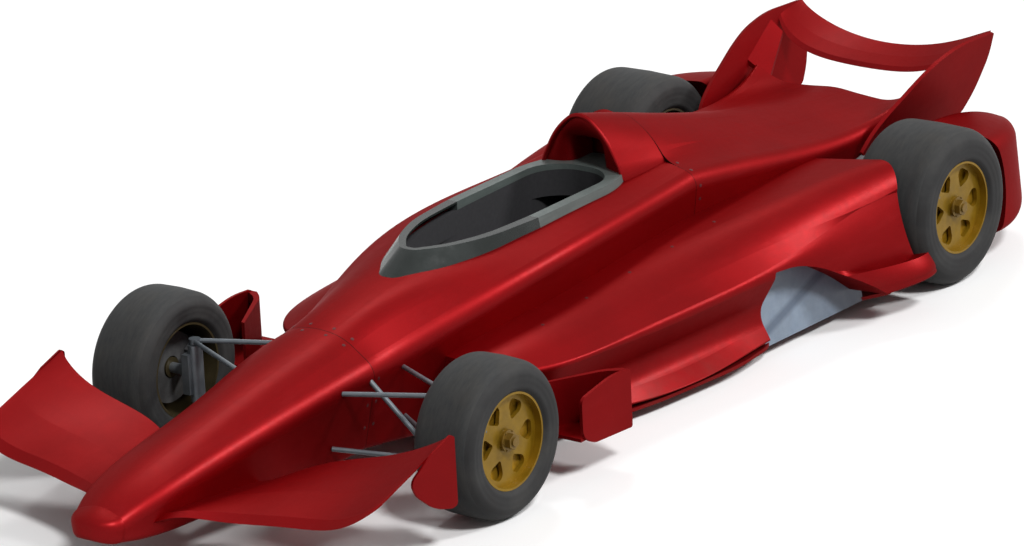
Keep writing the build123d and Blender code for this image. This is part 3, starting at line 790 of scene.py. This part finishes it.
# a U-shaped block over the disc, behind the axle, with its pistons in degrees from its middle;
# an arm and a plate hold it to the upright
caliper = {"inner": 0.096, "outer": 0.170, "half": 0.037, "slot": 0.017, "bridge": 0.157,
           "reach": math.radians(66), "middle": math.radians(-90), "steps": 14, "edge": 0.002,
           "pistons": (-16, 0, 16), "pistonCircle": 0.134, "piston": 0.013, "pistonProud": 0.006}
bracket = {"past": 0.03, "back": 0.01, "long": 0.022, "tall": 0.06, "shift": 0.004, "spare": 0.016,
           "plateLong": 0.07, "plateThick": 0.016, "plateTall": 0.07, "plateSunk": 0.004}
uprightFace = {"front": 0.690, "rear": 0.552}       # its outer face from the car's middle


def makeCaliper(end, middle, sign, body, edgeY):
    half, slot, inner = caliper["half"], caliper["slot"], caliper["inner"]
    rows = [(-half, inner), (-half, caliper["outer"]), (half, caliper["outer"]), (half, inner),
            (slot, inner), (slot, caliper["bridge"]), (-slot, caliper["bridge"]), (-slot, inner)]
    start = caliper["middle"] - caliper["reach"] / 2
    across = Vector((math.sin(start), 0, math.cos(start)))
    bm = bmesh.new()
    face = bm.faces.new([bm.verts.new(middle + Vector((0, y, 0)) + across * r) for y, r in rows])
    copy = bmesh.ops.duplicate(bm, geom=[face])["geom"]
    bmesh.ops.spin(bm, geom=copy, cent=middle, axis=alongAxle, angle=caliper["reach"], steps=caliper["steps"])
    bmesh.ops.remove_doubles(bm, verts=bm.verts, dist=mergeWithin)
    inward = abs(middle.y - sign * half - edgeY)
    reachBack = inner + bracket["past"]
    addBox(bm, Vector((middle.x - reachBack / 2 - bracket["back"],
                       edgeY + sign * (inward / 2 + bracket["shift"]), middle.z)),
           (bracket["long"], inward + bracket["spare"], bracket["tall"]))
    addBox(bm, Vector((middle.x - reachBack, middle.y - sign * (half - bracket["plateSunk"]), middle.z)),
           (bracket["plateLong"], bracket["plateThick"], bracket["plateTall"]))
    for tilt in caliper["pistons"]:
        spot = middle + aboutAxle(caliper["pistonCircle"], math.radians(180 + tilt))
        addCylinder(bm, spot, caliper["piston"], 2 * half + caliper["pistonProud"], alongAxle)
    finishPiece(f"brakeCaliper_{end}", bm, body, caliperMetal, bevel=caliper["edge"],
                smooth=False)


for end in wheelEnds:
    axle, side = end.split("_")
    sign = 1 if side == "left" else -1
    rimLow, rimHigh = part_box(f"{axle}_rim_{side}")
    uprightLow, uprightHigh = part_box(f"{axle}_upright_{side}")
    hub = (rimLow + rimHigh) / 2
    hub.y = uprightHigh.y if sign > 0 else uprightLow.y
    middle = hub - outward(sign, disc["behind"])
    spinning = f"wheel_{axle}_{side}"
    makeNut(end, hub, sign, spinning)
    makeValve(end, hub, sign, spinning)
    makePan(end, hub, sign, spinning)
    makeDisc(end, middle, spinning)
    holding = f"knuckle_{side}" if axle == "front" else "chassis"
    makeCaliper(end, middle, sign, holding, sign * uprightFace[axle])
print("wheel nuts, valves and brakes made")

# grips, paddles and controls on the steering wheel; local z runs down the column
helmTilt = math.radians(12)
helmAxis = Vector((math.cos(helmTilt), 0, -math.sin(helmTilt)))
helmFrame = Matrix((Vector((0, 1, 0)), helmAxis.cross(Vector((0, 1, 0))), helmAxis)).transposed().to_4x4()
helmFrame.translation = jointAt["steering_wheel_turn"]
# a grip is a stack of short cylinders; its ends bow in, and its middle is thicker by swell
grip = {"x": 0.106, "z": 0.006, "high": 0.100, "radius": 0.017, "bow": 0.012, "swell": 0.14,
        "slices": 6, "lap": 0.001, "edge": 0.001}
# boxes behind each grip: place and size
paddleBoxes = [
    ((0.075, 0.004, 0.034), (0.062, 0.052, 0.003)),
    ((0.048, 0.004, 0.027), (0.012, 0.020, 0.014)),
]
display = {"at": (0, 0.018, -0.0012), "size": (0.088, 0.046, 0.003), "edge": 0.0008}
# foot and collar are shares of a knob's radius
knob = {"foot": 0.8, "collar": 1.35, "collarThick": 0.003, "collarAt": -0.001, "sides": 24, "edge": 0.0005}
# x, y, radius and height of each knob
knobRows = [
    (-0.066, 0.036, 0.007, 0.006), (0.066, 0.036, 0.007, 0.006), (-0.066, 0.010, 0.007, 0.006),
    (0.066, 0.010, 0.007, 0.006), (-0.034, -0.032, 0.012, 0.012), (0.034, -0.032, 0.012, 0.012),
    (0.0, -0.036, 0.009, 0.009),
]
gripRubber = plasticMaterial("gripRubber", (0.010, 0.010, 0.011), (0.022, 0.022, 0.024), 0.7,
                             grain=1400.0, depth=0.0006)
displayGlass = plasticMaterial("displayGlass", (0.006, 0.008, 0.009), (0.010, 0.012, 0.013), 0.14,
                               grain=60.0, depth=0.0001)
knobPlastic = plasticMaterial("knobPlastic", (0.16, 0.16, 0.16), (0.22, 0.22, 0.22), 0.4,
                              grain=900.0, depth=0.0003)


def finishHelm(name, bm, material, edge):
    bmesh.ops.transform(bm, matrix=helmFrame, verts=bm.verts)
    finishPiece(name, bm, "helm", material, bevel=edge, smooth=False)


bm = bmesh.new()
for sign in (-1, 1):
    for k in range(grip["slices"] + 1):
        share = k / grip["slices"] - 0.5
        away = grip["x"] - grip["bow"] * abs(2 * share) ** 2
        spot = Vector((sign * away, share * grip["high"], grip["z"]))
        radius = grip["radius"] * (1 - grip["swell"] + grip["swell"] * math.cos(math.pi * share))
        addCylinder(bm, spot, radius, grip["high"] / grip["slices"] + grip["lap"], (0, 1, 0))
    for (x, y, z), size in paddleBoxes:
        addBox(bm, Vector((sign * x, y, z)), size)
finishHelm("helmGrips", bm, gripRubber, grip["edge"])
bm = bmesh.new()
addBox(bm, Vector(display["at"]), display["size"])
finishHelm("helmDisplay", bm, displayGlass, display["edge"])
bm = bmesh.new()
for x, y, radius, tall in knobRows:
    addCylinder(bm, Vector((x, y, -tall / 2)), radius * knob["foot"], tall, (0, 0, 1), knob["sides"], radius)
    addCylinder(bm, Vector((x, y, knob["collarAt"])), radius * knob["collar"], knob["collarThick"],
                (0, 0, 1), knob["sides"])
finishHelm("helmKnobs", bm, knobPlastic, knob["edge"])
print("steering wheel dressed")

skins = {}


def skinOf(name):
    if name not in skins:
        mesh = nodes[name].data
        skins[name] = BVHTree.FromPolygons([v.co for v in mesh.vertices], [p.vertices for p in mesh.polygons])
    return skins[name]


# bell mouth and rolled lip of the air intake, fitted to the roll hoop by rays; front, mouth, throat
# and end are stations along the car, and half, high and square shape the throat
intake = {
    "front": -0.470,
    "mouth": -0.478,
    "throat": -0.545,
    "end": -0.650,
    "floor": 0.785,
    "half": 0.079,
    "high": 0.116,
    "square": 7.5,
    "sunk": 0.004,
    "thick": 0.0025,
    "steps": 40,
    "rows": 8,
}
lip = {"radius": 0.011, "foot": math.radians(5.5), "probe": 0.0015, "steps": 60, "sides": 14}
archMiddle = Vector((0, 0, intake["floor"]))


def archWay(angle):
    return Vector((0, math.cos(angle), math.sin(angle)))


def hoopReach(x, way, outside=False):
    middle = archMiddle + Vector((x, 0, 0))
    start, ray = (middle + way, -way) if outside else (middle, way)
    return (skinOf("roll_hoop").ray_cast(start, ray)[0] - middle).length


# a closed loop at each angle round the arch, bridged; rows are (x, distance from the arch's middle)
def bridgeArch(name, firstAngle, lastAngle, steps, rowsAt):
    bm = bmesh.new()
    loops = []
    for k in range(steps + 1):
        angle = firstAngle + (lastAngle - firstAngle) * k / steps
        points = [archMiddle + archWay(angle) * away + Vector((x, 0, 0)) for x, away in rowsAt(angle)]
        loops.append(closedLoop(bm, points)[1])
    for first, second in zip(loops, loops[1:]):
        bmesh.ops.bridge_loops(bm, edges=first + second)
    bmesh.ops.holes_fill(bm, edges=loops[0] + loops[-1], sides=len(loops[0]))
    finishPiece(name, bm, "chassis", shellPaint)


def funnelRows(angle):
    way, mouth, square = archWay(angle), intake["mouth"], intake["square"]
    wide = hoopReach(mouth, way) + intake["sunk"]
    sides = abs(way.y / intake["half"]) ** square + abs(way.z / intake["high"]) ** square
    narrow = sides ** (-1 / square)
    rows = []
    for k in range(intake["rows"] + 1):
        turned = math.pi / 2 * k / intake["rows"]
        x = mouth + (intake["throat"] - mouth) * (1 - math.cos(turned))
        rows.append((x, wide + (narrow - wide) * math.sin(turned)))
    rows.append((intake["end"], narrow))
    return rows + [(x - intake["thick"], away + intake["thick"]) for x, away in reversed(rows)]


def lipRows(angle):
    centre = hoopReach(intake["front"] - lip["probe"], archWay(angle), True) - lip["radius"]
    turns = [math.tau * k / lip["sides"] for k in range(lip["sides"])]
    return [(intake["front"] + lip["radius"] * math.cos(t), centre + lip["radius"] * math.sin(t))
            for t in turns]


bridgeArch("intakeFunnel", 0.0, math.pi, intake["steps"], funnelRows)
bridgeArch("hoopLip", -lip["foot"], math.pi + lip["foot"], lip["steps"], lipRows)
print("air intake lined")

# quarter-turn fasteners round the panel joints and along the pods, set on the skins by rays
fastener = {"radius": 0.0075, "tall": 0.0014, "button": 0.0045, "buttonAt": 0.6, "inset": 0.028,
            "sides": 24, "edge": 0.0003, "far": 2.0}
noseSpots = ((-0.15, -0.06, 0.06, 0.15), (0.26, 0.36, 0.46))
coverSpots = ((-0.34, -0.27, 0.27, 0.34), (0.62, 0.68))
podX = (0.50, 0.20, -0.10, -0.40, -0.70)
podY = 0.50
fastenerMetal = metalMaterial("fastenerMetal", (0.075, 0.012, 0.014), (0.11, 0.022, 0.024), 0.5, metallic=0.7)
nosePlace, coverPlace = panelJoints
# node, x, then y for rays from above and z for rays from both sides
fastenerRows = [
    ("nose_cone", nosePlace + fastener["inset"], *noseSpots),
    ("monocoque", nosePlace - fastener["inset"], *noseSpots),
    ("engine_cover", coverPlace - fastener["inset"], *coverSpots),
]
fastenerRows += [("sidepod_left", x, (podY,), ()) for x in podX]
fastenerRows += [("sidepod_right", x, (-podY,), ()) for x in podX]
bm = bmesh.new()
for name, x, ys, zs in fastenerRows:
    rays = [(Vector((x, y, fastener["far"])), Vector((0, 0, -1))) for y in ys]
    rays += [(Vector((x, sign * fastener["far"], z)), Vector((0, -sign, 0)))
             for z in zs for sign in (1, -1)]
    for start, way in rays:
        spot, normal, _, _ = skinOf(name).ray_cast(start, way)
        buttonSpot = spot + normal * fastener["tall"] * fastener["buttonAt"]
        addCylinder(bm, spot, fastener["radius"], fastener["tall"], normal, fastener["sides"])
        addCylinder(bm, buttonSpot, fastener["button"], fastener["tall"], normal)
finishPiece("panelFasteners", bm, "chassis", fastenerMetal, bevel=fastener["edge"],
            smooth=False)
print("fasteners set")

# plain floor and soft studio light; what the camera, mirrors and glass see of them is brighter than
# what they throw onto the car
stage = {"size": 60.0, "seen": (0.88, 0.88, 0.88), "bounced": (0.22, 0.22, 0.22), "rough": 0.9}
lights = {
    "fill": 0.28,                  # world strength on the object
    "key": (69, 50, 2.3, 10),      # azimuth, elevation, strength, softness in degrees
    "side": (133, 36, 1.7, 10),
    "back": (-143, 51, 0.45, 10),
}


def seenRays(tree):
    path = tree.nodes.new("ShaderNodeLightPath").outputs
    mirrored = maths(tree, "MAXIMUM", path["Is Glossy Ray"], path["Is Transmission Ray"])
    return maths(tree, "MAXIMUM", path["Is Camera Ray"], mirrored)


def layFloor():
    mesh = bpy.data.meshes.new("floorSheet")
    bm = bmesh.new()
    bmesh.ops.create_grid(bm, x_segments=1, y_segments=1, size=stage["size"])
    bm.to_mesh(mesh)
    bm.free()
    ground = bpy.data.objects.new("ground", mesh)
    bpy.context.collection.objects.link(ground)
    mat, tree, shader = startMaterial("ground", Roughness=stage["rough"])
    feed(tree, shader, Base_Color=mixColour(tree, seenRays(tree), stage["bounced"], stage["seen"]))
    mesh.materials.append(mat)


def lightWorld():
    world = bpy.data.worlds.new("studio")
    bpy.context.scene.world = world
    world.use_nodes = True
    tree = world.node_tree
    background = tree.nodes["Background"].inputs
    background["Color"].default_value = (1, 1, 1, 1)
    tree.links.new(spread(tree, seenRays(tree), 0.0, 1.0, lights["fill"], 1.0), background["Strength"])


def hangLamp(name):
    azimuth, elevation, strength, softness = lights[name]
    sun = bpy.data.lights.new(name, "SUN")
    sun.energy, sun.angle = strength, math.radians(softness)
    lamp = bpy.data.objects.new(name, sun)
    bpy.context.collection.objects.link(lamp)
    lamp.rotation_euler = wayTo(azimuth, elevation).to_track_quat("Z", "Y").to_euler()


layFloor()
lightWorld()
for name in ("key", "side", "back"):
    hangLamp(name)
bpy.context.scene.view_settings.view_transform = "Standard"
print("stage and lights placed")
